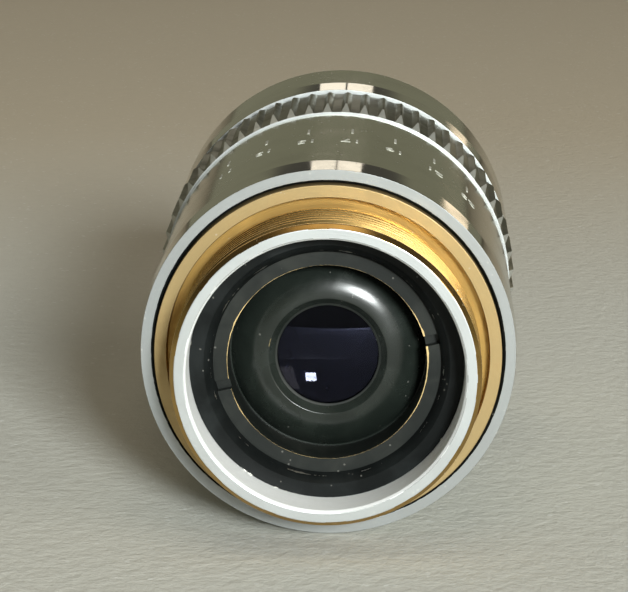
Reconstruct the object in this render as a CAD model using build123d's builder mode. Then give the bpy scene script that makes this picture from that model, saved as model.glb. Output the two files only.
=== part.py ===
from build123d import *
import os
from math import atan2, degrees, pi, sqrt

# A microscope objective with a knurled correction collar. Sizes are in millimetres.
# The optical axis is Y, the origin is on it at the mounting shoulder, the thread points to -Y
# and the nose to +Y.

# Clearances
fit_gap = 0.02
run_gap = 0.05
end_gap = 0.10
rim_gap = 0.10

# Lengths along the axis
tail_length = 5.4
flange_length = 4.0
barrel_setback = 0.5
barrel_length = 20.7
collar_length = 8.3
washer_thickness = 0.4
front_length = 9.3
nose_length = 4.1
nose_skirt = 3.2
taper_length = 2.6
sleeve_overlap = 1.5
barrel_web = 2.0
guide_recess = 3.0
guide_protrusion = 1.0

# Radii, from the thread inwards and outwards
thread_radius = 10.16
thread_depth = 0.45
thread_bevel = 0.36
relief_width = 0.56
relief_depth = 0.9
land_width = 0.83
tail_wall = 1.12
tail_flare = 0.13
barrel_wall = 1.05
taper_depth = 0.13
mouth_bevel = 0.15
mouth_depth = 1.0
guide_wall = 1.48
guide_bevel = 0.55
guide_step = 0.35
sleeve_wall = 1.28
collar_wall = 2.39
washer_inset = 0.4
front_wall = 2.65
front_bevel = 0.45
front_skirt_wall = 1.5
nose_tip_radius = 6.0
nose_tip_bevel = 0.4

# Flutes of the collar
flute_count = 60
flute_depth = 0.38
flute_bevel = 1.6
flute_root = 0.66
flute_crest = 0.12

# Correction drive
collar_swing = 60.0
carriage_travel = 0.8
pin_radius = 0.75

# Rear retaining ring and rear cell
retainer_depth = 0.8
retainer_length = 3.0
retainer_wall = 0.94
slot_width = 0.7
slot_depth = 0.6
slot_angle = 13.0
rear_cell_wall = 3.22
rear_cell_margin = 1.5
dome_height = 1.42
dome_lip = 0.58
dome_bulge = 0.35
rear_seat_width = 0.93
rear_seat_depth = 0.6
rear_edge = 3.5
rear_ring_length = 1.2
rear_ring_wall = 0.75
stop_radius = 1.52
stop_thickness = 0.8
rear_spacer_length = 2.4
spacer_wall = 1.2

# Moving corrector
carriage_wall = 1.94
carriage_seat = 1.0
carriage_margin = 0.1
corrector_seat_width = 0.6
corrector_edge = 3.9
corrector_ring_length = 1.0
pin_floor = 0.3

# Front group
front_cell_wall = 1.92
front_seat_width = 0.7
front_seat = 0.5
front_edge = 3.45
front_cell_margin = 0.3
meniscus_wall = 2.52
meniscus_edge = 1.5
meniscus_margin = 0.1
front_ring_length = 1.0
front_ring_wall = 2.0
front_lens_radius = 2.0
front_lens_seat = 0.6
front_lens_lip = 0.4
front_lens_edge = 0.75
front_lens_rise = 0.3

# Curvature radii of the lenses, a positive one bulging towards -Y
rear_curves = (14.0, -15.0)
corrector_curve = 40.0
front_doublet_curve = 18.0
meniscus_curves = (9.0, 16.0)

# Stations worked out from the lengths
tail_end = -tail_length
barrel_front = barrel_setback + barrel_length
collar_rear = barrel_front + end_gap
collar_front = collar_rear + collar_length
cam_station = (collar_rear + collar_front) / 2
washer_rear = collar_front + end_gap / 2
front_rear = washer_rear + washer_thickness + fit_gap
front_end = front_rear + front_length
nose_tip = front_end + nose_length
sleeve_rear = collar_rear - sleeve_overlap
sleeve_front = front_rear + sleeve_overlap
guide_rear = tail_end + guide_recess
guide_front = front_end + guide_protrusion

# Radii worked out from the walls
thread_root = thread_radius - thread_depth
tail_bore = thread_radius - tail_wall
land_inner = thread_radius + relief_width
flange_radius = land_inner + land_width
barrel_bore = flange_radius + fit_gap
mouth_radius = flange_radius + rim_gap
barrel_radius = barrel_bore + barrel_wall
guide_radius = tail_bore - fit_gap
stack_bore = guide_radius - guide_wall
stack_radius = stack_bore - fit_gap
guide_bore = stack_bore - guide_step
carriage_radius = guide_bore - run_gap
guide_seat = guide_radius + fit_gap
sleeve_bore = guide_radius + run_gap
sleeve_radius = sleeve_bore + sleeve_wall
sleeve_pocket = sleeve_radius + end_gap
collar_bore = sleeve_radius + fit_gap
collar_root = collar_bore + collar_wall
collar_crest = collar_root + flute_depth
front_radius = sleeve_pocket + front_wall
skirt_radius = front_radius - front_skirt_wall
drive_width = pin_radius + run_gap
rear_lens_radius = stack_radius - rear_cell_wall
rear_clear_radius = rear_lens_radius - rear_seat_width
corrector_radius = carriage_radius - carriage_wall
corrector_clear = corrector_radius - corrector_seat_width
front_doublet_radius = stack_radius - front_cell_wall
front_doublet_clear = front_doublet_radius - front_seat_width
meniscus_radius = stack_radius - meniscus_wall
meniscus_clear = meniscus_radius - front_seat_width
front_lens_clear = front_lens_radius - front_lens_seat
front_lens_curve = front_lens_radius + front_lens_rise


def sag(curve, radius):
    # How far a surface of this signed curvature radius has moved along +Y at this distance from the axis.
    if curve is None:
        return 0
    side = 1 if curve > 0 else -1
    return curve - side * sqrt(curve * curve - radius * radius)


def across(station):
    # The plane square to the axis at this station, with its normal along +Y.
    return Plane(origin=(0, station, 0), x_dir=(1, 0, 0), z_dir=(0, 1, 0))


def turn(*points):
    # A solid turned around the axis from a closed outline of (radius, station) points.
    with BuildSketch(Plane.XY) as outline:
        with BuildLine():
            Polyline(*points, close=True)
        make_face()
    revolve(outline.sketch, axis=Axis.Y)


def rims(piece, radius, station):
    # The circular edges of this radius at this station.
    circles = piece.edges().filter_by(GeomType.CIRCLE)
    return [e for e in circles if abs(e.radius - radius) < 1e-4 and abs(e.arc_center.Y - station) < 1e-4]


def surface(vertex, curve, radius):
    # The line of a lens surface from the axis out to its rim; a curve of None is flat.
    rim = (radius, vertex + sag(curve, radius))
    if curve is None:
        Line((0, vertex), rim)
    else:
        ThreePointArc((0, vertex), (radius / 2, vertex + sag(curve, radius / 2)), rim)
    return rim


def lens(radius, vertex, edge, rear_curve, front_curve):
    # A lens with its rear vertex at this station and this thickness at its edge.
    front = vertex + edge + sag(rear_curve, radius) - sag(front_curve, radius)
    with BuildPart() as glass:
        with BuildSketch(Plane.XY):
            with BuildLine():
                rear_rim = surface(vertex, rear_curve, radius)
                front_rim = surface(front, front_curve, radius)
                Line(rear_rim, front_rim)
                Line((0, vertex), (0, front))
            make_face()
        revolve(axis=Axis.Y)
    return glass.part


# Brass mount: thread, relief groove, shoulder land and the flange that the outer barrel fits on
with BuildPart() as rear_mount:
    turn(
        (tail_bore + tail_flare, tail_end),
        (thread_radius - thread_bevel, tail_end),
        (thread_radius, tail_end + thread_bevel),
        (thread_radius, 0),
        (thread_root, thread_depth),
        (thread_root, relief_depth),
        (land_inner, relief_depth),
        (land_inner, 0),
        (flange_radius, 0),
        (flange_radius, flange_length),
        (tail_bore, flange_length),
        (tail_bore, tail_end + 2 * tail_flare),
    )

# Chrome outer barrel, tapered at its rear edge, centred on the flange behind and on the guide tube in front
with BuildPart() as outer_barrel:
    turn(
        (mouth_radius + mouth_bevel, barrel_setback),
        (barrel_radius - taper_depth, barrel_setback),
        (barrel_radius, barrel_setback + taper_length),
        (barrel_radius, barrel_front),
        (sleeve_pocket, barrel_front),
        (sleeve_pocket, sleeve_rear - end_gap),
        (guide_seat, sleeve_rear - end_gap),
        (guide_seat, sleeve_rear - end_gap - barrel_web),
        (barrel_bore, sleeve_rear - end_gap - barrel_web),
        (barrel_bore, barrel_setback + mouth_depth),
        (mouth_radius, barrel_setback + mouth_depth),
        (mouth_radius, barrel_setback + mouth_bevel),
    )

# Guide tube: carries every lens cell, and its straight slot keeps the corrector from turning
retainer_rear = guide_rear + retainer_depth
retainer_front = retainer_rear + retainer_length
cell_rear = retainer_front + fit_gap
rear_seat = cell_rear - dome_height + rear_seat_depth
rear_vertex = rear_seat + fit_gap - sag(rear_curves[0], rear_clear_radius)
rear_ring_bore = rear_lens_radius - rear_ring_wall
rear_lens_rim = rear_vertex + sag(rear_curves[0], rear_lens_radius) + rear_edge
rear_ring_seat = rear_lens_rim - sag(rear_curves[1], rear_lens_radius) + sag(rear_curves[1], rear_ring_bore)
rear_ring_seat += fit_gap
cell_front = rear_ring_seat + rear_ring_length + rear_cell_margin
stop_rear = cell_front + fit_gap
spacer_rear = stop_rear + stop_thickness + fit_gap
rear_stack_end = spacer_rear + rear_spacer_length + fit_gap
front_rise = sag(front_doublet_curve, front_doublet_radius) - sag(front_doublet_curve, front_doublet_clear)
front_doublet_length = front_seat + fit_gap + front_rise + front_edge + front_cell_margin
meniscus_reach = meniscus_edge + sag(meniscus_curves[0], meniscus_radius) + meniscus_margin
meniscus_length = front_seat + fit_gap + meniscus_reach
meniscus_front = guide_front - front_ring_length - fit_gap
meniscus_rear = meniscus_front - meniscus_length
doublet_front = meniscus_rear - fit_gap
doublet_rear = doublet_front - front_doublet_length
front_stack_rear = doublet_rear - fit_gap
with BuildPart() as guide_tube:
    turn(
        (stack_bore + guide_bevel, guide_rear),
        (guide_radius, guide_rear),
        (guide_radius, guide_front),
        (stack_bore, guide_front),
        (stack_bore, front_stack_rear),
        (guide_bore, front_stack_rear),
        (guide_bore, rear_stack_end),
        (stack_bore, rear_stack_end),
        (stack_bore, guide_rear + guide_bevel),
    )
    with BuildSketch(Plane.XY):
        with Locations((0, cam_station)):
            Rectangle(2 * drive_width, 2 * (carriage_travel + drive_width + run_gap))
    extrude(amount=guide_radius * 2, mode=Mode.SUBTRACT)

# Cam sleeve: turns on the guide tube, and its helical slot moves the drive pin along
cam_radius = sleeve_bore + sleeve_wall / 2
slot_reach = collar_swing + degrees((drive_width + run_gap) / sleeve_bore)
cam_lead = 360 * carriage_travel / collar_swing
slot_rise = cam_lead * 2 * slot_reach / 360
with BuildPart() as cam_sleeve:
    turn(
        (sleeve_bore, sleeve_rear),
        (sleeve_radius, sleeve_rear),
        (sleeve_radius, sleeve_front),
        (sleeve_bore, sleeve_front),
    )
    with BuildLine() as cam_path:
        helix = Helix(cam_lead, slot_rise, cam_radius, (0, cam_station - slot_rise / 2, 0), (0, 1, 0))
    start = helix @ 0
    with BuildSketch(Plane(origin=start, x_dir=(start.X, 0, start.Z), z_dir=helix % 0)):
        Rectangle(2 * sleeve_wall, 2 * drive_width)
    cutter = sweep(path=cam_path.line, is_frenet=True, mode=Mode.PRIVATE)
    middle = helix @ 0.5
    add(cutter.rotate(Axis.Y, -degrees(atan2(middle.X, middle.Z))), mode=Mode.SUBTRACT)

# Knurled correction collar, fixed on the cam sleeve
crest_pitch = 2 * pi * collar_crest / flute_count
crest_open = (crest_pitch - flute_crest) / 2
flare = flute_root / 2 + 1.5 * (crest_open - flute_root / 2)
with BuildPart() as correction_collar:
    with BuildSketch(across(collar_rear)):
        Circle(collar_crest)
        with PolarLocations(collar_root, flute_count):
            Polygon(
                (0, -flute_root / 2),
                (1.5 * flute_depth, -flare),
                (1.5 * flute_depth, flare),
                (0, flute_root / 2),
                align=None,
                mode=Mode.SUBTRACT,
            )
    extrude(amount=collar_length)
    with BuildSketch(Plane.XY):
        with BuildLine():
            Polyline(
                (collar_bore, collar_rear),
                (collar_root, collar_rear),
                (collar_crest, collar_rear + flute_bevel),
                (collar_crest, collar_front - flute_bevel),
                (collar_root, collar_front),
                (collar_bore, collar_front),
                close=True,
            )
        make_face()
    revolve(axis=Axis.Y, mode=Mode.INTERSECT)

# Friction washer between the collar and the front barrel
with BuildPart() as collar_washer:
    turn(
        (sleeve_pocket, washer_rear),
        (collar_root - washer_inset, washer_rear),
        (collar_root - washer_inset, washer_rear + washer_thickness),
        (sleeve_pocket, washer_rear + washer_thickness),
    )

# Front barrel, tapered at its rear edge and seated on the guide tube
skirt_rear = front_end - nose_skirt
with BuildPart() as front_barrel:
    turn(
        (sleeve_pocket, front_rear),
        (front_radius - taper_depth, front_rear),
        (front_radius, front_rear + taper_length),
        (front_radius, front_end),
        (skirt_radius, front_end),
        (skirt_radius, skirt_rear - end_gap),
        (guide_seat, skirt_rear - end_gap),
        (guide_seat, sleeve_front + end_gap),
        (sleeve_pocket, sleeve_front + end_gap),
    )
    chamfer(rims(front_barrel, front_radius, front_end), length=front_bevel)

# Nose cone, with the seat of the front lens
lens_front = nose_tip - front_lens_lip - fit_gap
lens_edge = lens_front - front_lens_edge
lens_rear = lens_edge - sag(front_lens_curve, front_lens_radius)
with BuildPart() as nose_cone:
    turn(
        (guide_seat, skirt_rear),
        (skirt_radius - fit_gap, skirt_rear),
        (skirt_radius - fit_gap, front_end + fit_gap),
        (front_radius - 2 * front_bevel, front_end + fit_gap),
        (nose_tip_radius, nose_tip - nose_tip_bevel),
        (nose_tip_radius - nose_tip_bevel, nose_tip),
        (front_lens_clear, nose_tip),
        (front_lens_clear, nose_tip - front_lens_lip),
        (front_lens_radius + fit_gap, nose_tip - front_lens_lip),
        (front_lens_radius + fit_gap, lens_edge),
        (stack_radius - front_ring_wall, guide_front + fit_gap),
        (guide_seat, guide_front + fit_gap),
    )

# Rear retaining ring, slotted for a spanner
retainer_bore = stack_radius - retainer_wall
with BuildPart() as retaining_ring:
    turn(
        (retainer_bore, retainer_rear),
        (stack_radius, retainer_rear),
        (stack_radius, retainer_front),
        (retainer_bore, retainer_front),
    )
    with BuildSketch(across(retainer_rear)):
        Rectangle(4 * stack_radius, slot_width, rotation=-slot_angle)
    extrude(amount=slot_depth, mode=Mode.SUBTRACT)

# Rear cell, whose domed face carries the aperture of the rear lens
dome_top = cell_rear - dome_height
dome_rim = rear_clear_radius + dome_lip
dome_foot = retainer_bore - end_gap
chord = sqrt((dome_foot - dome_rim) ** 2 + dome_height**2)
bulge = (dome_height / chord * dome_bulge, (dome_foot - dome_rim) / chord * dome_bulge)
dome_mid = ((dome_foot + dome_rim) / 2 + bulge[0], (cell_rear + dome_top) / 2 - bulge[1])
with BuildPart() as rear_cell:
    with BuildSketch(Plane.XY):
        with BuildLine():
            ThreePointArc((dome_foot, cell_rear), dome_mid, (dome_rim, dome_top))
            Polyline(
                (dome_rim, dome_top),
                (rear_clear_radius, rear_seat - end_gap),
                (rear_clear_radius, rear_seat),
                (rear_lens_radius + fit_gap, rear_seat),
                (rear_lens_radius + fit_gap, cell_front),
                (stack_radius, cell_front),
                (stack_radius, cell_rear),
                (dome_foot, cell_rear),
            )
        make_face()
    revolve(axis=Axis.Y)

# Rear cemented doublet and its ring
rear_doublet = lens(rear_lens_radius, rear_vertex, rear_edge, *rear_curves)
with BuildPart() as rear_ring:
    turn(
        (rear_ring_bore, rear_ring_seat),
        (rear_lens_radius, rear_ring_seat),
        (rear_lens_radius, rear_ring_seat + rear_ring_length),
        (rear_ring_bore, rear_ring_seat + rear_ring_length),
    )

# Aperture stop and the spacer that holds it against the rear cell
with BuildPart() as aperture_stop:
    turn(
        (stop_radius, stop_rear),
        (stack_radius, stop_rear),
        (stack_radius, stop_rear + stop_thickness),
        (stop_radius + stop_thickness / 2, stop_rear + stop_thickness),
        (stop_radius, stop_rear + stop_thickness / 2),
    )
with BuildPart() as rear_spacer:
    turn(
        (stack_radius - spacer_wall, spacer_rear),
        (stack_radius, spacer_rear),
        (stack_radius, spacer_rear + rear_spacer_length),
        (stack_radius - spacer_wall, spacer_rear + rear_spacer_length),
    )

# Corrector carriage, sliding in the guide tube
carriage_length = carriage_seat + corrector_edge + corrector_ring_length + 2 * fit_gap + carriage_margin
carriage_rear = cam_station - carriage_length / 2
carriage_front = cam_station + carriage_length / 2
corrector_seat = carriage_rear + carriage_seat
pin_foot = corrector_radius + fit_gap + pin_floor
with BuildPart() as carriage:
    turn(
        (corrector_clear, carriage_rear),
        (carriage_radius, carriage_rear),
        (carriage_radius, carriage_front),
        (corrector_radius + fit_gap, carriage_front),
        (corrector_radius + fit_gap, corrector_seat),
        (corrector_clear, corrector_seat),
    )
    with BuildSketch(Plane.XY.offset(pin_foot)):
        with Locations((0, cam_station)):
            Circle(pin_radius + fit_gap)
    extrude(amount=guide_bore, mode=Mode.SUBTRACT)

# Drive pin: from the carriage through the straight slot into the helical slot
with BuildPart() as drive_pin:
    with BuildSketch(Plane.XY.offset(pin_foot + fit_gap)):
        with Locations((0, cam_station)):
            Circle(pin_radius)
    extrude(amount=sleeve_radius - run_gap - pin_foot - fit_gap)

# Corrector doublet and its ring
corrector_vertex = corrector_seat + fit_gap
corrector_rim = corrector_vertex + corrector_edge
corrector_doublet = lens(corrector_radius, corrector_vertex, corrector_edge, None, corrector_curve)
with BuildPart() as corrector_ring:
    turn(
        (corrector_clear, corrector_rim + fit_gap),
        (corrector_radius, corrector_rim + fit_gap),
        (corrector_radius, corrector_rim + fit_gap + corrector_ring_length),
        (corrector_clear, corrector_rim + fit_gap + corrector_ring_length),
    )

# Front doublet in its cell, against the front shoulder of the guide tube
doublet_seat = doublet_rear + front_seat
with BuildPart() as front_doublet_cell:
    turn(
        (front_doublet_clear, doublet_rear),
        (stack_radius, doublet_rear),
        (stack_radius, doublet_front),
        (front_doublet_radius + fit_gap, doublet_front),
        (front_doublet_radius + fit_gap, doublet_seat),
        (front_doublet_clear, doublet_seat),
    )
doublet_vertex = doublet_seat + fit_gap - sag(front_doublet_curve, front_doublet_clear)
front_doublet = lens(front_doublet_radius, doublet_vertex, front_edge, front_doublet_curve, None)

# Meniscus in its cell, and the ring that locks the front stack
meniscus_stop = meniscus_front - front_seat
meniscus_vertex = meniscus_stop - fit_gap - meniscus_edge - sag(meniscus_curves[0], meniscus_radius)
with BuildPart() as meniscus_cell:
    turn(
        (meniscus_radius + fit_gap, meniscus_rear),
        (stack_radius, meniscus_rear),
        (stack_radius, meniscus_front),
        (meniscus_clear, meniscus_front),
        (meniscus_clear, meniscus_stop),
        (meniscus_radius + fit_gap, meniscus_stop),
    )
meniscus = lens(meniscus_radius, meniscus_vertex, meniscus_edge, *meniscus_curves)
with BuildPart() as front_ring:
    turn(
        (stack_radius - front_ring_wall, meniscus_front + fit_gap),
        (stack_radius, meniscus_front + fit_gap),
        (stack_radius, meniscus_front + fit_gap + front_ring_length),
        (stack_radius - front_ring_wall, meniscus_front + fit_gap + front_ring_length),
    )
front_lens = lens(front_lens_radius, lens_rear, front_lens_edge, front_lens_curve, None)

pieces = {
    "rear_mount": rear_mount.part,
    "outer_barrel": outer_barrel.part,
    "guide_tube": guide_tube.part,
    "cam_sleeve": cam_sleeve.part,
    "correction_collar": correction_collar.part,
    "collar_washer": collar_washer.part,
    "front_barrel": front_barrel.part,
    "nose_cone": nose_cone.part,
    "retaining_ring": retaining_ring.part,
    "rear_cell": rear_cell.part,
    "rear_doublet": rear_doublet,
    "rear_ring": rear_ring.part,
    "aperture_stop": aperture_stop.part,
    "rear_spacer": rear_spacer.part,
    "carriage": carriage.part,
    "drive_pin": drive_pin.part,
    "corrector_doublet": corrector_doublet,
    "corrector_ring": corrector_ring.part,
    "front_doublet_cell": front_doublet_cell.part,
    "front_doublet": front_doublet,
    "meniscus_cell": meniscus_cell.part,
    "meniscus": meniscus,
    "front_ring": front_ring.part,
    "front_lens": front_lens,
}
os.makedirs("parts", exist_ok=True)
for name, piece in pieces.items():
    piece.label = name
    export_step(piece, f"parts/{name}.step")
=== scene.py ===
import bpy
import bmesh
from math import asin, cos, pi, radians, sin, tau
from mathutils import Matrix, Vector


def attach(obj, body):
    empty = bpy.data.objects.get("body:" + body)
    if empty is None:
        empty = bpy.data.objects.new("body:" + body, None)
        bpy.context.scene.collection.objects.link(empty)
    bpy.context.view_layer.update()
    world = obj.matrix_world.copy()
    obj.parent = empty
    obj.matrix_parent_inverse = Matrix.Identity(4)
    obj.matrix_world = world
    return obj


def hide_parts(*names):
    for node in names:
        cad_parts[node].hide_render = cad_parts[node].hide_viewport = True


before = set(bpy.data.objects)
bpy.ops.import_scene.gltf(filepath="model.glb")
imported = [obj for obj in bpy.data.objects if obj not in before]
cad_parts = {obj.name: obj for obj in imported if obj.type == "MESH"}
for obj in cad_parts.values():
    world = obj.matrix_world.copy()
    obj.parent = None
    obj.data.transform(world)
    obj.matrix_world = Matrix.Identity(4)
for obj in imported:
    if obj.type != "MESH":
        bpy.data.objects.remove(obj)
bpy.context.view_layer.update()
mm = 0.001
print("frame loaded,", len(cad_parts), "nodes")


# small helpers for node trees

colourMix = {"amount": 0, "first": 6, "second": 7, "result": 2}  # colour sockets of a Mix node


def setSocket(tree, socket, value):
    if isinstance(value, bpy.types.NodeSocket):
        tree.links.new(value, socket)
    else:
        socket.default_value = value


def addNode(tree, kind, sockets=None, **settings):
    node = tree.nodes.new(kind)
    for key, value in settings.items():
        setattr(node, key, value)
    for key, value in (sockets or {}).items():
        setSocket(tree, node.inputs[key], value)
    return node


def calc(tree, operation, first, second=0.5, third=0.0):
    return addNode(tree, "ShaderNodeMath", {0: first, 1: second, 2: third},
                   operation=operation).outputs[0]


def times(tree, first, second):
    return calc(tree, "MULTIPLY", first, second)


def fade(tree, value, low, high, toLow=0.0, toHigh=1.0):
    ends = {"Value": value, "From Min": low, "From Max": high, "To Min": toLow, "To Max": toHigh}
    return addNode(tree, "ShaderNodeMapRange", ends,
                   interpolation_type="SMOOTHSTEP").outputs["Result"]


def tint(tree, amount, first, second):
    node = addNode(tree, "ShaderNodeMix", data_type="RGBA")
    for label, value in {"amount": amount, "first": first, "second": second}.items():
        opaque = (*value, 1.0) if isinstance(value, tuple) else value
        setSocket(tree, node.inputs[colourMix[label]], opaque)
    return node.outputs[colourMix["result"]]


def objectPoint(tree):
    return addNode(tree, "ShaderNodeTexCoord").outputs["Object"]


def noise(tree, **sockets):
    return addNode(tree, "ShaderNodeTexNoise", sockets).outputs["Fac"]


def addBump(tree, shader, height, strength, depth):
    bump = addNode(tree, "ShaderNodeBump",
                   {"Height": height, "Strength": strength, "Distance": depth * mm})
    tree.links.new(bump.outputs["Normal"], shader.inputs["Normal"])


def newGroup(name, inputs, outputs):
    group = bpy.data.node_groups.new(name, "ShaderNodeTree")
    for label, value in inputs.items():
        socket = group.interface.new_socket(label, in_out="INPUT", socket_type="NodeSocketFloat")
        socket.default_value = value
    for label in outputs:
        group.interface.new_socket(label, in_out="OUTPUT", socket_type="NodeSocketFloat")
    given = group.nodes.new("NodeGroupInput").outputs
    made = group.nodes.new("NodeGroupOutput").inputs
    return group, given, made


def place(tree, group, **values):
    node = tree.nodes.new("ShaderNodeGroup")
    node.node_tree = group
    for label, value in values.items():
        node.inputs[label].default_value = value
    return node.outputs


# shared surface effects, those around the optical axis in millimetres

def makeLatheCoords():
    group, _, made = newGroup("latheCoords", {}, ("Radius", "Station", "Around"))
    axes = addNode(group, "ShaderNodeSeparateXYZ", {"Vector": objectPoint(group)}).outputs
    square = calc(group, "ADD", times(group, axes["X"], axes["X"]),
                  times(group, axes["Z"], axes["Z"]))
    group.links.new(times(group, calc(group, "SQRT", square), 1.0 / mm), made["Radius"])
    group.links.new(times(group, axes["Y"], 1.0 / mm), made["Station"])
    group.links.new(calc(group, "ARCTAN2", axes["X"], axes["Z"]), made["Around"])
    return group


def makeTurningMarks():
    group, given, made = newGroup("turningMarks", {"Density": 8.0, "Sweep": 0.6}, ("Height",))
    coords = place(group, latheCoords)
    vector = addNode(group, "ShaderNodeCombineXYZ", {
        "X": times(group, coords["Radius"], given["Density"]),
        "Y": times(group, coords["Station"], given["Density"]),
        "Z": times(group, coords["Around"], given["Sweep"])}).outputs[0]
    height = noise(group, Vector=vector, Scale=1.0, Detail=4.0, Roughness=0.65)
    group.links.new(height, made["Height"])
    return group


def makeHandling():
    inputs = {"Scale": 160.0, "Low": 0.42, "High": 0.68}
    group, given, made = newGroup("handling", inputs, ("Smudge",))
    cloud = noise(group, Vector=objectPoint(group), Scale=given["Scale"], Detail=5.0,
                  Roughness=0.6, Distortion=0.4)
    group.links.new(fade(group, cloud, given["Low"], given["High"]), made["Smudge"])
    return group


def makeSpecks():
    inputs = {"Scale": 900.0, "Size": 0.16, "Share": 0.55, "Patch": 0.3}
    group, given, made = newGroup("specks", inputs, ("Mask",))
    point = objectPoint(group)
    cells = addNode(group, "ShaderNodeTexVoronoi", {"Vector": point, "Scale": given["Scale"]})
    patch = noise(group, Vector=point, Scale=times(group, given["Scale"], given["Patch"]))
    dot = calc(group, "LESS_THAN", cells.outputs["Distance"], given["Size"])
    here = calc(group, "GREATER_THAN", patch, given["Share"])
    group.links.new(times(group, dot, here), made["Mask"])
    return group


def makeRimWearAndGlint():
    inputs = {"Radius": 9.0, "Station": 0.0, "Width": 0.15, "Breakup": 0.5, "Full": 0.75,
              "Grain": 700.0, "Side Glint": 0.0, "Side Start": 0.70, "Side Full": 0.95}
    group, given, made = newGroup("rimWearAndGlint", inputs, ("Mask",))
    coords = place(group, latheCoords)
    out = calc(group, "SUBTRACT", coords["Radius"], given["Radius"])
    along = calc(group, "SUBTRACT", coords["Station"], given["Station"])
    away = calc(group, "SQRT", calc(group, "ADD", times(group, out, out),
                                    times(group, along, along)))
    grain = noise(group, Vector=objectPoint(group), Scale=given["Grain"], Detail=4.0, Roughness=0.7)
    reach = times(group, given["Width"], fade(group, grain, given["Breakup"], given["Full"]))
    # the Sides input keeps the bared edge only at the left and right sides: painted highlight where
    # the edge catches the light there
    sideways = calc(group, "ABSOLUTE", calc(group, "SINE", coords["Around"]))
    lost = fade(group, sideways, given["Side Start"], given["Side Full"], -1.0, 0.0)
    reach = times(group, reach, calc(group, "MULTIPLY_ADD", lost, given["Side Glint"], 1.0))
    group.links.new(calc(group, "LESS_THAN", away, reach), made["Mask"])
    return group


latheCoords = makeLatheCoords()
turningMarks = makeTurningMarks()
handling = makeHandling()
specks = makeSpecks()
rimWearAndGlint = makeRimWearAndGlint()
print("surface effects ready")


# finishes

markDepth = 0.02  # millimetres
dustSpread = {"metal": {"Size": 0.15, "Share": 0.58}, "paint": {"Size": 0.14, "Share": 0.60},
              "glass": {"Size": 0.12, "Share": 0.62}}
dustColour = {"metal": (0.62, 0.60, 0.56), "paint": (0.35, 0.34, 0.31)}
dustRough = {"metal": 0.5, "glass": 0.3}
lensSmudge = {"Low": 0.5, "High": 0.75}


def startMaterial(name, **sockets):
    material = bpy.data.materials.new(name)
    material.use_nodes = True
    tree = material.node_tree
    shader = tree.nodes["Principled BSDF"]
    for label, value in sockets.items():
        shader.inputs[label.replace("_", " ")].default_value = value
    return material, tree, shader


def turnedMetal(name, look):
    material, tree, shader = startMaterial(name, Metallic=look["metal"])
    smudge = place(tree, handling, Scale=look["smudgeScale"])["Smudge"]
    marks = place(tree, turningMarks, Density=look["marks"], Sweep=look["sweep"])["Height"]
    colour = tint(tree, times(tree, smudge, look["tarnish"]), look["colour"], look["stain"])
    colour = tint(tree, times(tree, marks, look["streak"]), colour, look["stain"])
    dust = place(tree, specks, Scale=look["dustScale"], **dustSpread["metal"])["Mask"]
    colour = tint(tree, times(tree, dust, look["dust"]), colour, dustColour["metal"])
    tree.links.new(colour, shader.inputs["Base Color"])
    rough = calc(tree, "MULTIPLY_ADD", smudge, look["smear"], look["rough"])
    rough = calc(tree, "MULTIPLY_ADD", dust, look["dust"] * dustRough["metal"], rough)
    tree.links.new(rough, shader.inputs["Roughness"])
    addBump(tree, shader, marks, look["relief"], markDepth)
    return material


def wornPaint(name, look):
    material, tree, shader = startMaterial(name, Specular_IOR_Level=look["gloss"])
    smudge = place(tree, handling, Scale=look["smudgeScale"])["Smudge"]
    marks = place(tree, turningMarks, Density=look["marks"], Sweep=look["sweep"])["Height"]
    colour = tint(tree, smudge, look["colour"], look["faded"])
    dust = place(tree, specks, Scale=look["dustScale"], **dustSpread["paint"])["Mask"]
    colour = tint(tree, times(tree, dust, look["dust"]), colour, dustColour["paint"])
    bare = None
    for rim in look["rims"]:
        mask = place(tree, rimWearAndGlint, **rim)["Mask"]
        bare = mask if bare is None else calc(tree, "MAXIMUM", bare, mask)
    if bare is not None:
        colour = tint(tree, bare, colour, look["under"])
        tree.links.new(bare, shader.inputs["Metallic"])
    tree.links.new(colour, shader.inputs["Base Color"])
    rough = calc(tree, "MULTIPLY_ADD", smudge, look["smear"], look["rough"])
    tree.links.new(rough, shader.inputs["Roughness"])
    addBump(tree, shader, marks, look["relief"], markDepth)
    return material


def coatedGlass(name, look):
    material, tree, shader = startMaterial(name, Transmission_Weight=1.0, IOR=look["index"],
                                           Specular_Tint=(*look["coating"], 1.0))
    smudge = place(tree, handling, Scale=look["smudgeScale"], **lensSmudge)["Smudge"]
    dust = place(tree, specks, Scale=look["dustScale"], **dustSpread["glass"])["Mask"]
    tree.links.new(tint(tree, smudge, look["colour"], look["haze"]), shader.inputs["Base Color"])
    rough = calc(tree, "MULTIPLY_ADD", smudge, look["smear"], look["rough"])
    rough = calc(tree, "MULTIPLY_ADD", dust, dustRough["glass"], rough)
    tree.links.new(rough, shader.inputs["Roughness"])
    return material


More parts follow.
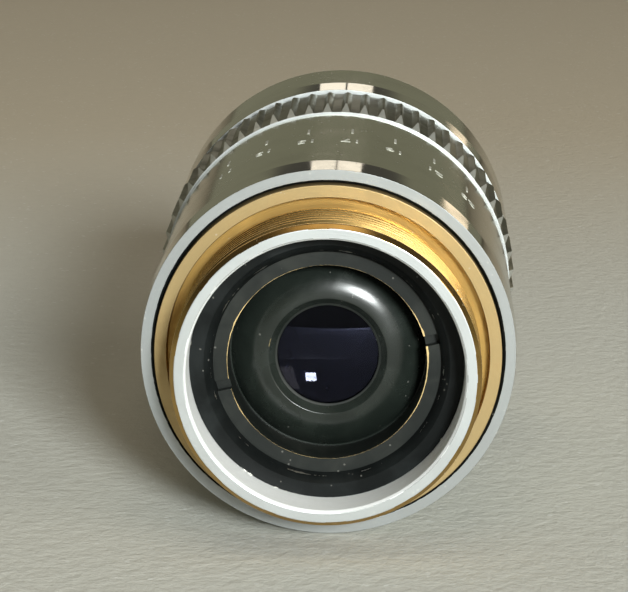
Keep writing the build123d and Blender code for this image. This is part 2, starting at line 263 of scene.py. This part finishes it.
usualMetal = {"dust": 0.3, "dustScale": 2000.0, "metal": 1.0}
finishes = {
    "satinChrome": {
        "colour": (0.51, 0.52, 0.44), "stain": (0.36, 0.35, 0.28), "tarnish": 0.35, "streak": 0.12,
        "rough": 0.09, "smear": 0.05, "smudgeScale": 170.0, "marks": 14.0, "sweep": 0.5,
        "relief": 0.01, "dust": 0.5, "dustScale": 1900.0},
    "brightTaper": {
        "colour": (0.58, 0.58, 0.52), "stain": (0.40, 0.39, 0.34), "tarnish": 0.30, "streak": 0.10,
        "rough": 0.05, "smear": 0.05, "smudgeScale": 260.0, "marks": 14.0, "sweep": 0.5,
        "relief": 0.02, "dust": 0.4, "dustScale": 1900.0},
    # chrome of the flute flanks, darkened far below the chrome's own colour: painted shade that
    # keeps the flutes dark
    "shadedFluteChrome": {
        "colour": (0.21, 0.21, 0.165), "stain": (0.11, 0.11, 0.085), "tarnish": 0.60,
        "streak": 0.15, "rough": 0.32, "smear": 0.14, "smudgeScale": 300.0, "marks": 9.0,
        "sweep": 0.8, "relief": 0.10, "dustScale": 2100.0},
    "fluteEnds": {
        "colour": (0.50, 0.51, 0.47), "stain": (0.30, 0.30, 0.27), "tarnish": 0.60, "streak": 0.25,
        "rough": 0.45, "smear": 0.12, "smudgeScale": 320.0, "marks": 12.0, "sweep": 1.2,
        "relief": 0.2, "dustScale": 2100.0, "metal": 0.55},
    "rimSilver": {
        "colour": (0.37, 0.385, 0.385), "stain": (0.26, 0.275, 0.27), "tarnish": 0.40,
        "streak": 0.30, "rough": 0.42, "smear": 0.10, "smudgeScale": 240.0, "marks": 16.0,
        "sweep": 1.2, "relief": 0.22, "metal": 0.80},
    "satinSilver": {
        "colour": (0.50, 0.52, 0.52), "stain": (0.37, 0.385, 0.38), "tarnish": 0.35,
        "streak": 0.25, "rough": 0.42, "smear": 0.10, "smudgeScale": 240.0, "marks": 16.0,
        "sweep": 1.2, "relief": 0.22, "metal": 0.75},
    "boreSilver": {
        "colour": (0.93, 0.95, 0.95), "stain": (0.66, 0.68, 0.67), "tarnish": 0.30, "streak": 0.40,
        "rough": 0.48, "smear": 0.10, "smudgeScale": 240.0, "marks": 12.0, "sweep": 1.2,
        "relief": 0.5, "metal": 0.15},
    "threadBrass": {
        "colour": (0.56, 0.37, 0.13), "stain": (0.28, 0.16, 0.05), "tarnish": 0.55, "streak": 0.40,
        "rough": 0.21, "smear": 0.08, "smudgeScale": 210.0, "marks": 10.0, "sweep": 0.9,
        "relief": 0.20},
    # brass of the relief groove walls: a separate copy whose colour and brown stain are painted
    # shade for the recessed groove
    "shadedReliefBrass": {
        "colour": (0.62, 0.40, 0.13), "stain": (0.38, 0.21, 0.055), "tarnish": 0.50,
        "streak": 0.45, "rough": 0.36, "smear": 0.14, "smudgeScale": 260.0, "marks": 12.0,
        "sweep": 0.9, "relief": 0.25},
    "landBrass": {
        "colour": (0.45, 0.335, 0.165), "stain": (0.31, 0.205, 0.085), "tarnish": 0.40,
        "streak": 0.30, "rough": 0.42, "smear": 0.10, "smudgeScale": 230.0, "marks": 14.0,
        "sweep": 1.0, "relief": 0.25, "metal": 0.85},
    "sleeveBronze": {
        "colour": (0.60, 0.44, 0.24), "stain": (0.30, 0.19, 0.09), "tarnish": 0.50, "streak": 0.35,
        "rough": 0.30, "smear": 0.12, "smudgeScale": 220.0, "marks": 9.0, "sweep": 0.7,
        "relief": 0.2, "dust": 0.2, "dustScale": 1600.0},
    "pinSteel": {
        "colour": (0.62, 0.62, 0.63), "stain": (0.40, 0.39, 0.38), "tarnish": 0.30, "streak": 0.25,
        "rough": 0.22, "smear": 0.10, "smudgeScale": 400.0, "marks": 9.0, "sweep": 0.7,
        "relief": 0.15, "dust": 0.2, "dustScale": 1600.0},
}
metals = {name: turnedMetal(name, {**usualMetal, **look}) for name, look in finishes.items()}

usualPaint = {"gloss": 0.5, "sweep": 0.5, "dust": 0.25, "dustScale": 2000.0, "rims": ()}
paints = {
    "tubeBlack": {
        "colour": (0.005, 0.006, 0.006), "faded": (0.010, 0.012, 0.012), "rough": 0.34,
        "smear": 0.14, "gloss": 0.12, "smudgeScale": 260.0, "marks": 9.0, "relief": 0.25,
        "under": (0.62, 0.60, 0.55),
        "rims": ({"Radius": 7.67, "Station": -1.98, "Width": 0.10, "Breakup": 0.50},
                 {"Radius": 9.02, "Station": -2.4, "Width": 0.08, "Breakup": 0.56})},
    "cellBlack": {
        "colour": (0.009, 0.012, 0.010), "faded": (0.014, 0.018, 0.015), "rough": 0.22,
        "smear": 0.08, "smudgeScale": 240.0, "marks": 7.0, "relief": 0.12,
        "under": (0.60, 0.47, 0.26),
        "rims": ({"Radius": 3.95, "Station": 0.0, "Width": 0.05, "Breakup": 0.58},)},
    "innerBlack": {
        "colour": (0.004, 0.004, 0.004), "faded": (0.008, 0.008, 0.008), "rough": 0.55,
        "smear": 0.15, "gloss": 0.1, "smudgeScale": 240.0, "marks": 8.0, "relief": 0.25,
        "dust": 0.3, "dustScale": 1500.0},
    "ringGrey": {
        "colour": (0.009, 0.011, 0.010), "faded": (0.017, 0.019, 0.016), "rough": 0.40,
        "smear": 0.14, "gloss": 0.25, "smudgeScale": 280.0, "marks": 8.0, "relief": 0.25,
        "under": (0.74, 0.55, 0.27),
        # the slotted ring's inner brass edge: worn paint, kept mostly to the left and right sides
        # as painted highlight
        "rims": ({"Radius": 6.58, "Station": -1.6, "Width": 0.16, "Breakup": 0.32, "Grain": 240.0,
                  "Side Glint": 0.92},)},
    "markWhite": {
        "colour": (0.46, 0.46, 0.41), "faded": (0.28, 0.28, 0.24), "rough": 0.45, "smear": 0.15,
        "smudgeScale": 500.0, "marks": 8.0, "relief": 0.2, "dust": 0.1},
}
coats = {name: wornPaint(name, {**usualPaint, **look}) for name, look in paints.items()}

usualGlass = {"rough": 0.0, "smear": 0.02, "smudgeScale": 420.0, "dustScale": 1600.0}
glasses = {
    # the glasses of the two visible lenses are tinted dark: painted shade for the dark inside seen
    # through them
    "rearGlass": {"colour": (0.06, 0.06, 0.075), "haze": (0.08, 0.08, 0.09),
                  "coating": (0.25, 0.27, 0.48), "index": 1.62},
    "deepGlass": {"colour": (0.006, 0.006, 0.008), "haze": (0.010, 0.010, 0.012),
                  "coating": (0.80, 0.84, 1.0), "index": 1.9},
    "innerGlass": {"colour": (0.95, 0.96, 0.94), "haze": (0.90, 0.92, 0.90),
                   "coating": (0.30, 0.26, 0.40), "index": 1.58},
}
lenses = {name: coatedGlass(name, {**usualGlass, **look}) for name, look in glasses.items()}
everyFinish = {**metals, **coats, **lenses}


def pick(*names):
    return [everyFinish[name] for name in names]


print("finishes ready,", len(everyFinish))


# modelling helpers

axle = {"cent": (0, 0, 0), "axis": (0, 1, 0)}  # pieces are turned round the optical axis
turnSteps = 224
mergeGap = {"fine": 1e-7, "coarse": 1e-6, "artwork": 1e-5}
softEdge = {"segments": 3, "angle": 24.0}
flatAngle = 0.5
margin = 0.02  # millimetres between an edge and the middle of a face that is painted apart


def finishPiece(bm, name, body, materials, replaced=(), edge=0.0, smoothUnder=30.0):
    mesh = bpy.data.meshes.new(name)
    bm.to_mesh(mesh)
    bm.free()
    for material in materials:
        mesh.materials.append(material)
    mesh.shade_smooth()
    piece = bpy.data.objects.new(name, mesh)
    bpy.context.scene.collection.objects.link(piece)
    if edge:
        bevel = piece.modifiers.new("softEdges", "BEVEL")
        bevel.width = edge * mm
        bevel.segments = softEdge["segments"]
        bevel.limit_method = "ANGLE"
        bevel.angle_limit = radians(softEdge["angle"])
        bevel.harden_normals = True
    else:
        mesh.set_sharp_from_angle(angle=radians(smoothUnder))
    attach(piece, body)
    if replaced:
        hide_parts(*replaced)


def addPoint(bm, radius, station):
    return bm.verts.new((radius * mm, station * mm, 0.0))


def lastPoint(spun):
    return [item for item in spun["geom_last"] if isinstance(item, bmesh.types.BMVert)][0]


def closeOutline(bm, points):
    corners = [addPoint(bm, radius, station) for radius, station in points]
    for first, second in zip(corners, corners[1:] + corners[:1]):
        bm.edges.new((first, second))


def turnOutline(bm, steps=turnSteps):
    bmesh.ops.spin(bm, geom=bm.verts[:] + bm.edges[:], angle=tau, steps=steps, use_merge=True,
                   **axle)
    bmesh.ops.remove_doubles(bm, verts=bm.verts, dist=mergeGap["fine"])
    bmesh.ops.dissolve_degenerate(bm, edges=bm.edges, dist=mergeGap["fine"])
    bmesh.ops.recalc_face_normals(bm, faces=bm.faces)


def turnedPiece(points):
    bm = bmesh.new()
    closeOutline(bm, points)
    turnOutline(bm)
    return bm


def paintFaces(bm, index, test):
    for face in bm.faces:
        middle = face.calc_center_median() / mm
        if test(Vector((middle.x, middle.z)).length, middle.y):
            face.material_index = index


def copyNode(node):
    bm = bmesh.new()
    bm.from_mesh(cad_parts[node].data)
    bmesh.ops.remove_doubles(bm, verts=bm.verts, dist=mergeGap["coarse"])
    bmesh.ops.dissolve_limit(bm, angle_limit=radians(flatAngle), verts=bm.verts, edges=bm.edges,
                             delimit={"NORMAL"})
    return bm


# brass mount: plated end and bore, thread, relief and land

mount = {"end": -5.4, "bore": 9.04, "flare": 0.13, "lead": 10.10, "leadBevel": 0.3,
         "leadLength": 0.55, "rootStart": 0.7, "root": 9.71, "relief": 0.9, "landInner": 10.72,
         "landOuter": 11.55, "land": 0.0, "depth": 4.0, "edge": 0.05}


def makeMount():
    m = mount
    end, mouth = m["end"], m["bore"] + m["flare"]
    bm = turnedPiece([
        (mouth, end), (m["lead"] - m["leadBevel"], end), (m["lead"], end + m["leadBevel"]),
        (m["lead"], end + m["leadLength"]), (m["root"], end + m["rootStart"]),
        (m["root"], m["relief"]), (m["landInner"], m["relief"]), (m["landInner"], m["land"]),
        (m["landOuter"], m["land"]), (m["landOuter"], m["depth"]), (m["bore"], m["depth"]),
        (m["bore"], end + 2 * m["flare"])])
    paintFaces(bm, 1, lambda radius, station: station < end + margin)
    paintFaces(bm, 2, lambda radius, station: radius < mouth - margin and station > end + margin)
    # the relief groove walls take the brass copy that carries painted shade
    paintFaces(bm, 3, lambda radius, station: radius > m["root"] + margin
               and station > end + m["rootStart"])
    paintFaces(bm, 4, lambda radius, station: radius > m["landInner"] + margin)
    finishPiece(bm, "rearMountTurned", "barrel",
                pick("threadBrass", "satinSilver", "boreSilver", "shadedReliefBrass", "landBrass"),
                ("rear_mount",), m["edge"])


thread = {"start": -4.55, "turns": 6.1, "pitch": 0.7056, "root": 9.66, "crest": 10.13,
          "flat": 0.11, "base": 0.33, "stepsPerTurn": 112, "runOut": 40, "smoothUnder": 25.0}


def makeThread():
    bm = bmesh.new()
    t = thread
    outline = [(t["root"], t["start"] - t["base"]), (t["crest"], t["start"] - t["flat"]),
               (t["crest"], t["start"] + t["flat"]), (t["root"], t["start"] + t["base"])]
    closeOutline(bm, outline)
    steps = int(t["turns"] * t["stepsPerTurn"])
    bmesh.ops.spin(bm, geom=bm.verts[:] + bm.edges[:], steps=steps, angle=tau * t["turns"],
                   dvec=(0, t["pitch"] * mm / t["stepsPerTurn"], 0), **axle)
    bmesh.ops.holes_fill(bm, edges=[edge for edge in bm.edges if edge.is_boundary])
    bm.verts.ensure_lookup_table()
    for vert in bm.verts:  # both ends of the ridge run out into the core
        section = vert.index // len(outline)
        share = min(section, steps - section) / t["runOut"]
        radius = Vector((vert.co.x, vert.co.z)).length / mm
        if share < 1.0 and radius > (t["root"] + t["crest"]) / 2:
            lower = 1.0 - (1.0 - share) * (radius - t["root"]) / radius
            vert.co.x, vert.co.z = vert.co.x * lower, vert.co.z * lower
    bmesh.ops.recalc_face_normals(bm, faces=bm.faces)
    finishPiece(bm, "mountThread", "barrel", pick("threadBrass"),
                smoothUnder=t["smoothUnder"])


makeMount()
makeThread()
print("brass mount made")


# chrome barrels and nose

def taperedRear(size):  # points close to the taper's end keep its edge crisp
    turnIn = size["taper"] * size["crisp"] / size["taperLength"]
    taperEnd = size["rear"] + size["taperLength"]
    return [(size["radius"] - size["taper"], size["rear"]),
            (size["radius"] - turnIn, taperEnd - size["crisp"]),
            (size["radius"], taperEnd), (size["radius"], taperEnd + size["crisp"])]


def paintRear(bm, size):
    rear, taperEnd = size["rear"] + margin, size["rear"] + size["taperLength"]
    inner = size["radius"] - size["taper"] - margin
    paintFaces(bm, 1, lambda radius, station: station < rear)
    paintFaces(bm, 2, lambda radius, station: radius > inner and rear < station < taperEnd)


barrel = {"rear": 0.5, "front": 21.2, "radius": 12.62, "taper": 0.13, "taperLength": 2.6,
          "crisp": 0.04, "mouth": 11.65, "mouthBevel": 0.15, "mouthDepth": 1.0, "bore": 11.57,
          "pocket": 10.45, "seat": 9.04, "pocketRear": 19.7, "webRear": 17.7, "edge": 0.03}


def makeBarrel():
    b = barrel
    rim, inside = b["mouth"] + b["mouthBevel"], b["rear"] + b["mouthDepth"]
    bm = turnedPiece([
        (rim, b["rear"]), *taperedRear(b), (b["radius"], b["front"]), (b["pocket"], b["front"]),
        (b["pocket"], b["pocketRear"]), (b["seat"], b["pocketRear"]), (b["seat"], b["webRear"]),
        (b["bore"], b["webRear"]), (b["bore"], inside), (b["mouth"], inside),
        (b["mouth"], b["rear"] + b["mouthBevel"])])
    paintRear(bm, b)
    paintFaces(bm, 3, lambda radius, station: radius < rim and station > b["rear"] + margin)
    finishPiece(bm, "outerBarrelTurned", "barrel",
                pick("satinChrome", "rimSilver", "brightTaper", "tubeBlack"),
                ("outer_barrel",), b["edge"])


frontBand = {"rear": 30.07, "front": 39.37, "radius": 13.1, "taper": 0.13, "taperLength": 2.6,
             "crisp": 0.04, "bevel": 0.45, "pocket": 10.45, "pocketFront": 31.67, "seat": 9.04,
             "skirt": 11.6, "skirtRear": 36.07, "edge": 0.03}


def makeFrontBand():
    f = frontBand
    bm = turnedPiece([
        (f["pocket"], f["rear"]), *taperedRear(f), (f["radius"], f["front"] - f["bevel"]),
        (f["radius"] - f["bevel"], f["front"]), (f["skirt"], f["front"]),
        (f["skirt"], f["skirtRear"]), (f["seat"], f["skirtRear"]), (f["seat"], f["pocketFront"]),
        (f["pocket"], f["pocketFront"])])
    paintRear(bm, f)
    finishPiece(bm, "frontBarrelTurned", "barrel",
                pick("satinChrome", "satinSilver", "brightTaper"), ("front_barrel",), f["edge"])


nose = {"skirt": 11.58, "skirtRear": 36.17, "rear": 39.39, "radius": 12.2, "tip": 43.47,
        "tipRadius": 6.0, "tipBevel": 0.4, "clear": 1.4, "lip": 0.4, "lens": 2.02,
        "lensEdge": 42.3, "inner": 5.52, "innerRear": 40.39, "seat": 9.04, "edge": 0.05}


def makeNose():
    n = nose
    bm = turnedPiece([
        (n["seat"], n["skirtRear"]), (n["skirt"], n["skirtRear"]), (n["skirt"], n["rear"]),
        (n["radius"], n["rear"]), (n["tipRadius"], n["tip"] - n["tipBevel"]),
        (n["tipRadius"] - n["tipBevel"], n["tip"]), (n["clear"], n["tip"]),
        (n["clear"], n["tip"] - n["lip"]), (n["lens"], n["tip"] - n["lip"]),
        (n["lens"], n["lensEdge"]), (n["inner"], n["innerRear"]), (n["seat"], n["innerRear"])])
    paintFaces(bm, 1, lambda radius, station: station > n["tip"] - margin)
    finishPiece(bm, "noseConeTurned", "barrel", pick("satinChrome", "satinSilver"),
                ("nose_cone",), n["edge"])


makeBarrel()
makeFrontBand()
makeNose()
print("chrome barrels made")


# fluted collar and the washer in front of it

collar = {"flutes": 60, "rear": 21.3, "front": 29.6, "bore": 10.37, "root": 12.76,
          "crest": 13.14, "valley": 0.66, "land": 0.12, "bevel": 1.6, "edge": 0.03}


def makeCollar():
    bm = bmesh.new()
    c = collar
    half = pi / c["flutes"]
    valley = asin(c["valley"] / 2 / c["root"])
    land = half - asin(c["land"] / 2 / c["crest"])

    def pair(radius, angle, inset=0.0):  # the same point at the rear and at the front
        return [bm.verts.new((radius * sin(angle) * mm, station * mm, radius * cos(angle) * mm))
                for station in (c["rear"] + inset, c["front"] - inset)]

    floorMid, floorSide = pair(c["root"], 0.0), pair(c["root"], valley)
    crestSide = pair(c["crest"], land, c["bevel"])
    crestMid = pair(c["crest"], half, c["bevel"])
    footMid = pair(c["root"], half)
    boreMid, boreSide = pair(c["bore"], 0.0), pair(c["bore"], half)
    for first, second in ((floorMid, floorSide), (floorSide, crestSide), (crestSide, crestMid),
                          (boreSide, boreMid)):
        bm.faces.new((first[0], second[0], second[1], first[1]))
    for end in (0, 1):
        bm.faces.new((floorSide[end], footMid[end], crestMid[end], crestSide[end]))
        bm.faces.new((boreMid[end], boreSide[end], footMid[end], floorSide[end], floorMid[end]))
    bmesh.ops.mirror(bm, geom=bm.verts[:] + bm.edges[:] + bm.faces[:], axis="X",
                     merge_dist=mergeGap["fine"])
    bmesh.ops.spin(bm, geom=bm.verts[:] + bm.edges[:] + bm.faces[:], angle=tau,
                   steps=c["flutes"], use_duplicate=True, use_merge=True, **axle)
    bmesh.ops.remove_doubles(bm, verts=bm.verts, dist=mergeGap["coarse"])
    bmesh.ops.recalc_face_normals(bm, faces=bm.faces)
    # the flute flanks keep the first finish, darkened chrome as painted shade; the bevelled ends
    # and the end faces are painted apart
    for index, reach in ((1, c["bevel"]), (2, margin)):
        paintFaces(bm, index, lambda radius, station: station < c["rear"] + reach
                   or station > c["front"] - reach)
    finishPiece(bm, "collarFluted", "collar",
                pick("shadedFluteChrome", "fluteEnds", "satinSilver"), ("correction_collar",), c["edge"])


washer = {"inner": 10.45, "outer": 12.36, "rear": 29.65, "front": 30.05, "edge": 0.04}


def makeWasher():
    w = washer
    bm = turnedPiece([(w["inner"], w["rear"]), (w["outer"], w["rear"]),
                      (w["outer"], w["front"]), (w["inner"], w["front"])])
    finishPiece(bm, "collarWasherTurned", "barrel", pick("sleeveBronze"),
                ("collar_washer",), w["edge"])


makeCollar()
makeWasher()
print("collar made")


# a plain scale of numbers for the collar

scale = {"radius": 12.62, "depth": 0.03, "numbers": ("11", "13", "15", "17", "19", "21", "23"),
         "first": -36.0, "step": 14.0, "height": 1.5, "numberStation": 11.2, "tickStation": 14.4,
         "tickLength": 1.5, "tickWidth": 0.16, "smoothUnder": 20.0}


def wrapInto(bm, art, angle, station):  # bends flat artwork in millimetres round the barrel
    for vert in art.verts:
        turn = radians(angle) - vert.co.x / scale["radius"]
        radius = scale["radius"] + vert.co.z
        vert.co = Vector((radius * sin(turn), station - vert.co.y, radius * cos(turn))) * mm
    carrier = bpy.data.meshes.new("artwork")
    art.to_mesh(carrier)
    art.free()
    bm.from_mesh(carrier)
    bpy.data.meshes.remove(carrier)


def flatNumber(number):
    words = bpy.data.curves.new("number", "FONT")
    words.body, words.size, words.align_x = number, scale["height"], "CENTER"
    words.extrude = scale["depth"]
    carrier = bpy.data.objects.new("number", words)
    flat = bpy.data.meshes.new_from_object(carrier)
    art = bmesh.new()
    art.from_mesh(flat)
    bmesh.ops.remove_doubles(art, verts=art.verts, dist=mergeGap["artwork"])
    bpy.data.objects.remove(carrier)
    bpy.data.curves.remove(words)
    bpy.data.meshes.remove(flat)
    return art


def flatTick():
    art = bmesh.new()
    bmesh.ops.create_cube(art, size=1.0)
    bmesh.ops.scale(art, vec=(scale["tickWidth"], scale["tickLength"], 2 * scale["depth"]),
                    verts=art.verts)
    return art


def makeScale():
    bm = bmesh.new()
    for index, number in enumerate(scale["numbers"]):
        angle = scale["first"] + index * scale["step"]
        wrapInto(bm, flatNumber(number), angle, scale["numberStation"])
        wrapInto(bm, flatTick(), angle, scale["tickStation"])
    finishPiece(bm, "collarScale", "barrel", pick("markWhite"),
                smoothUnder=scale["smoothUnder"])


makeScale()
print("scale made")


# black tube, slotted ring, domed cell and the lenses

dome = {"foot": (6.48, 1.42), "rim": (3.95, 0.0), "bulge": 0.35, "clear": 3.37, "lip": 0.14,
        "lipTilt": 0.02, "seat": 0.6, "pocket": 4.32, "front": 7.308, "radius": 7.52,
        "arcSteps": 22, "turnSteps": 160, "edge": 0.04}


def makeDome():
    bm = bmesh.new()
    d = dome
    foot, rim = Vector(d["foot"]), Vector(d["rim"])
    chord = foot - rim
    bend = (chord.length_squared / 4 + d["bulge"] ** 2) / (2 * d["bulge"])
    outward = Vector((chord.y, -chord.x)).normalized()
    centre = (foot + rim) / 2 - outward * (bend - d["bulge"])
    start = addPoint(bm, foot.x, foot.y)
    arc = bmesh.ops.spin(bm, geom=[start], cent=(centre.x * mm, centre.y * mm, 0.0),
                         axis=(0, 0, 1), steps=d["arcSteps"],
                         angle=-2 * asin(chord.length / 2 / bend))
    previous = lastPoint(arc)
    lipOuter, lipRear = d["clear"] + d["lip"], d["seat"] - d["lip"]
    for radius, station in [(lipOuter, lipRear), (d["clear"], lipRear + d["lipTilt"]),
                            (d["clear"], d["seat"]), (d["pocket"], d["seat"]),
                            (d["pocket"], d["front"]), (d["radius"], d["front"]),
                            (d["radius"], foot.y)]:
        corner = addPoint(bm, radius, station)
        bm.edges.new((previous, corner))
        previous = corner
    bm.edges.new((previous, start))
    turnOutline(bm, d["turnSteps"])
    paintFaces(bm, 1, lambda radius, station: radius < lipOuter)
    finishPiece(bm, "rearCellDomed", "barrel", pick("cellBlack", "ringGrey"),
                ("rear_cell",), d["edge"])


rearLens = {"radius": 4.3, "vertex": 0.2082, "edge": 3.5, "rearCurve": 14.0, "frontCurve": -15.0}
frontLens = {"radius": 2.0, "vertex": 41.1358, "edge": 0.75, "rearCurve": 2.3, "frontCurve": None}
polish = {"arcSteps": 14, "turnSteps": 128, "smoothUnder": 32.0}


def bendLine(bm, vertex, curve, radius):
    start = addPoint(bm, 0.0, vertex)
    if curve is None:
        rim = addPoint(bm, radius, vertex)
        bm.edges.new((start, rim))
        return rim
    arc = bmesh.ops.spin(bm, geom=[start], cent=(0.0, (vertex + curve) * mm, 0.0), axis=(0, 0, 1),
                         steps=polish["arcSteps"], angle=asin(radius / curve))
    return lastPoint(arc)


def sag(curve, radius):
    if curve is None:
        return 0.0
    return curve - (1 if curve > 0 else -1) * (curve ** 2 - radius ** 2) ** 0.5


def makeLens(name, size, replaced):
    bm = bmesh.new()
    rear, radius = size["vertex"], size["radius"]
    front = rear + size["edge"] + sag(size["rearCurve"], radius) - sag(size["frontCurve"], radius)
    rearRim = bendLine(bm, rear, size["rearCurve"], radius)
    frontRim = bendLine(bm, front, size["frontCurve"], radius)
    bm.edges.new((rearRim, frontRim))
    turnOutline(bm, polish["turnSteps"])
    middle = (rear + front) / 2
    paintFaces(bm, 1, lambda out, station: station > middle and out < radius - margin)
    # both lenses take the glasses tinted dark as painted shade
    finishPiece(bm, name, "barrel", pick("rearGlass", "deepGlass"), (replaced,),
                smoothUnder=polish["smoothUnder"])


makeDome()
makeLens("rearLensPolished", rearLens, "rear_doublet")
makeLens("frontLensPolished", frontLens, "front_lens")
finishPiece(copyNode("guide_tube"), "guideTubeBlack", "barrel", pick("tubeBlack"),
            ("guide_tube",))
finishPiece(copyNode("retaining_ring"), "retainingRingGrey", "barrel",
            pick("ringGrey"), ("retaining_ring",))
print("rear recess made")


# the nodes that stay as they are get their finishes

kept = {
    "innerBlack": ("rear_ring", "aperture_stop", "rear_spacer", "carriage", "corrector_ring",
                   "front_doublet_cell", "meniscus_cell", "front_ring"),
    "sleeveBronze": ("cam_sleeve",),
    "pinSteel": ("drive_pin",),
    "innerGlass": ("corrector_doublet", "front_doublet", "meniscus"),
}
for finish, nodes in kept.items():
    for node in nodes:
        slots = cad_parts[node].data.materials
        slots.clear()
        slots.append(everyFinish[finish])
print("inner nodes finished")


# floor, light and camera

# the floor colour fades from the near tone to a darker, warmer far tone: painted shade for the back
# of the floor, where less lamp light falls
stageSet = {"slope": -1.50, "touch": (3.1, -12.64), "reach": 3.0, "segments": 8, "rough": 0.85,
            "near": (0.62, 0.625, 0.575), "far": (0.58, 0.51, 0.39), "fadeFrom": 0.05,
            "fadeTo": 0.20, "grain": 0.25, "grainColour": (0.30, 0.29, 0.27), "paintedGlint": 0.3,
            "paintedGlintColour": (0.85, 0.87, 0.87), "relief": 0.5, "reliefDepth": 0.3}


def makeFloor():
    s = stageSet
    bm = bmesh.new()
    bmesh.ops.create_grid(bm, x_segments=s["segments"], y_segments=s["segments"], size=s["reach"])
    station, level = s["touch"]
    turn = (Matrix.Translation((0, station * mm, level * mm))
            @ Matrix.Rotation(radians(s["slope"]), 4, "X"))
    bmesh.ops.transform(bm, matrix=turn, verts=bm.verts)
    mesh = bpy.data.meshes.new("floor")
    bm.to_mesh(mesh)
    bm.free()
    material, tree, shader = startMaterial("paleFloor", Roughness=s["rough"])
    point = objectPoint(tree)
    along = addNode(tree, "ShaderNodeSeparateXYZ", {"Vector": point}).outputs["Y"]
    grain = noise(tree, Vector=point, Scale=900.0, Detail=5.0, Roughness=0.7)
    # darker, warmer towards the back: painted shade
    colour = tint(tree, fade(tree, along, s["fadeFrom"], s["fadeTo"]), s["near"], s["far"])
    colour = tint(tree, times(tree, grain, s["grain"]), colour, s["grainColour"])
    # bright specks mixed into the floor colour: painted glints
    paintedGlint = place(tree, specks, Scale=1100.0, Size=0.20, Share=0.57)["Mask"]
    colour = tint(tree, times(tree, paintedGlint, s["paintedGlint"]), colour, s["paintedGlintColour"])
    tree.links.new(colour, shader.inputs["Base Color"])
    addBump(tree, shader, grain, s["relief"], s["reliefDepth"])
    mesh.materials.append(material)
    floor = bpy.data.objects.new("floor", mesh)
    bpy.context.scene.collection.objects.link(floor)


lamps = {  # direction from the object, distance, width, height, watts, colour
    "overhead": ((0.0, -0.24, 0.97), 1.0, 0.60, 0.50, 1.25, (1.0, 0.84, 0.60)),
    "backLeft": ((-0.043, 0.957, 0.275), 1.0, 0.070, 0.08, 0.024, (1.0, 0.90, 0.76)),
    "backRight": ((0.0315, 0.957, 0.275), 1.0, 0.070, 0.08, 0.024, (1.0, 0.90, 0.76)),
    "sideLamp": ((0.265, 0.960, 0.080), 1.0, 0.05, 0.09, 0.018, (1.0, 0.80, 0.58)),
    "rightFill": ((0.70, -0.62, 0.35), 1.0, 0.52, 0.42, 2.4, (1.0, 0.92, 0.78)),
    "backFill": ((-0.45, 0.65, 0.62), 1.2, 0.60, 0.60, 0.9, (1.0, 0.88, 0.68)),
    "softKey": ((0.27, -0.91, 0.31), 1.1, 0.20, 0.17, 19.0, (0.95, 1.0, 0.99)),
}
room = {"low": (0.20, 0.195, 0.135), "high": (0.07, 0.066, 0.055),  # dim above the skyline
        "from": 0.205, "to": 0.245}


def makeLamps():
    for name, (direction, distance, width, height, watts, colour) in lamps.items():
        lamp = bpy.data.lights.new(name, "AREA")
        lamp.shape, lamp.size, lamp.size_y = "RECTANGLE", width, height
        lamp.energy, lamp.color = watts, colour
        panel = bpy.data.objects.new(name, lamp)
        panel.location = Vector(direction).normalized() * distance
        panel.rotation_euler = (-Vector(direction)).to_track_quat("-Z", "Y").to_euler()
        bpy.context.scene.collection.objects.link(panel)


def makeRoom():
    world = bpy.data.worlds.new("dimRoom")
    world.use_nodes = True
    tree = world.node_tree
    outward = addNode(tree, "ShaderNodeTexCoord").outputs["Generated"]
    up = addNode(tree, "ShaderNodeSeparateXYZ", {"Vector": outward}).outputs["Z"]
    colour = tint(tree, fade(tree, up, room["from"], room["to"]), room["low"], room["high"])
    tree.links.new(colour, tree.nodes["Background"].inputs["Color"])
    bpy.context.scene.world = world


shot = {"aim": (0.0, 0.4, 0.0), "azimuth": 1.70, "elevation": 14.77, "distance": 180.0,
        "lens": 155.3, "sensor": 36.0, "shift": (-0.0223, 0.0938), "clip": 0.01}


def makeCamera():
    lens = bpy.data.cameras.new("shot")
    lens.lens, lens.sensor_width, lens.sensor_fit = shot["lens"], shot["sensor"], "HORIZONTAL"
    lens.shift_x, lens.shift_y = shot["shift"]
    lens.clip_start = shot["clip"]
    camera = bpy.data.objects.new("shot", lens)
    az, el = radians(shot["azimuth"]), radians(shot["elevation"])
    away = Vector((sin(az) * cos(el), -cos(az) * cos(el), sin(el)))
    camera.location = (Vector(shot["aim"]) + away * shot["distance"]) * mm
    camera.rotation_euler = (-away).to_track_quat("-Z", "Y").to_euler()
    bpy.context.scene.collection.objects.link(camera)
    bpy.context.scene.camera = camera


makeFloor()
makeLamps()
makeRoom()
makeCamera()
bpy.context.scene.view_settings.view_transform = "Standard"
print("stage ready")
